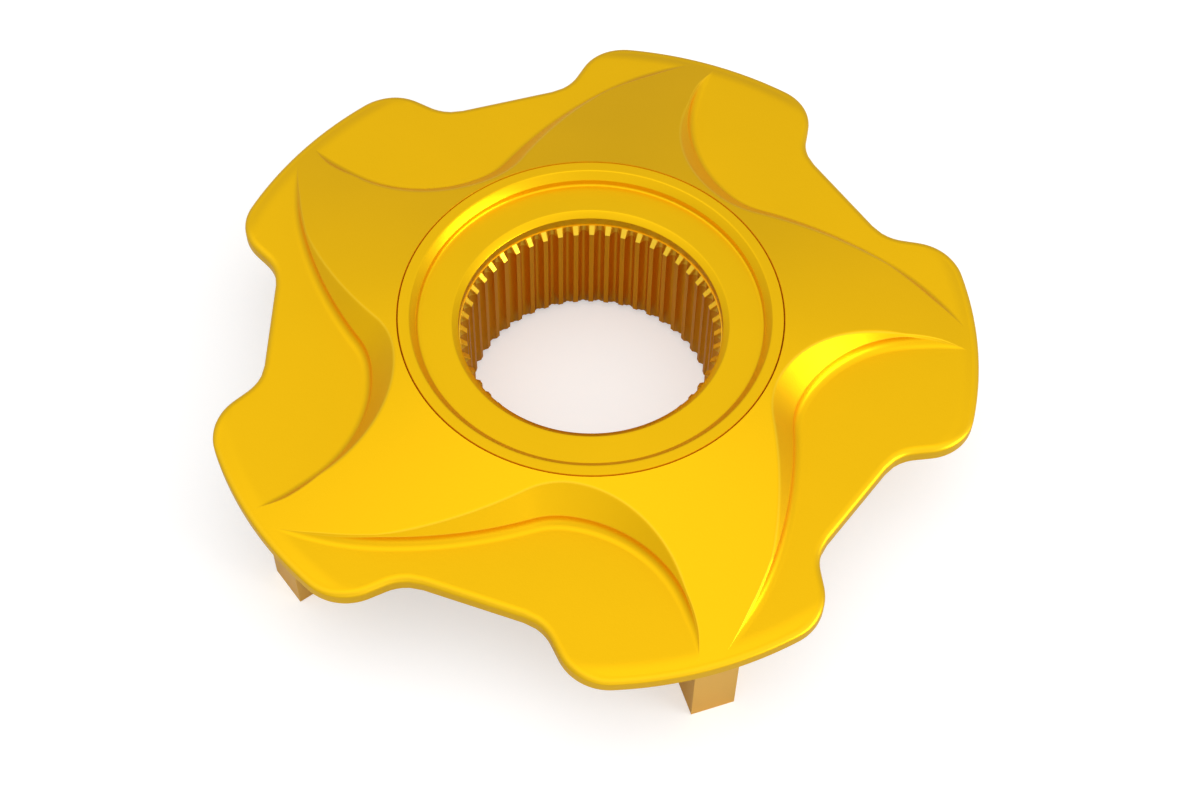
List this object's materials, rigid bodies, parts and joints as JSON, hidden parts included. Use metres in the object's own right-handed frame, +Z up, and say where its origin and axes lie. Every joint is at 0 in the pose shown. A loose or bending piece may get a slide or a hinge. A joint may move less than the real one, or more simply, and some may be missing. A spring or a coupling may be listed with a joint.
{
  "type": "splined drive flange",
  "caption": "Lobed drive flange with a domed face, swirl pockets, a splined hub and drive dogs below, anodised yellow gold.",
  "frame": {"origin": "on the bore axis, in the plane of the feet of the drive dogs and the lower end of the hub barrel", "axes": "+Z up the bore axis towards the domed face, +X through the middle of lobe 1"},
  "size_m": [0.143, 0.1476, 0.0309],
  "materials": {
    "plate_anodised": "satin anodised, yellow gold",
    "hub_anodised": "turned and anodised, yellow gold",
    "spline_anodised": "broached and anodised, deep gold",
    "dog_anodised": "matt anodised, deep gold",
    "black_screw": "black oxide",
    "bright_steel": "ground"
  },
  "bodies": {
    "root": {"star_plate": "plate_anodised", "hub_barrel": "hub_anodised", "spline_sleeve": "spline_anodised", "sleeve_pins": "bright_steel", "drive_dog_1": "dog_anodised", "drive_dog_2": "dog_anodised", "drive_dog_3": "dog_anodised", "drive_dog_4": "dog_anodised", "drive_dog_5": "dog_anodised", "dog_screws": "black_screw", "dog_dowels": "bright_steel", "hub_screws": "black_screw", "hub_dowels": "bright_steel"}
  },
  "joints": []
}
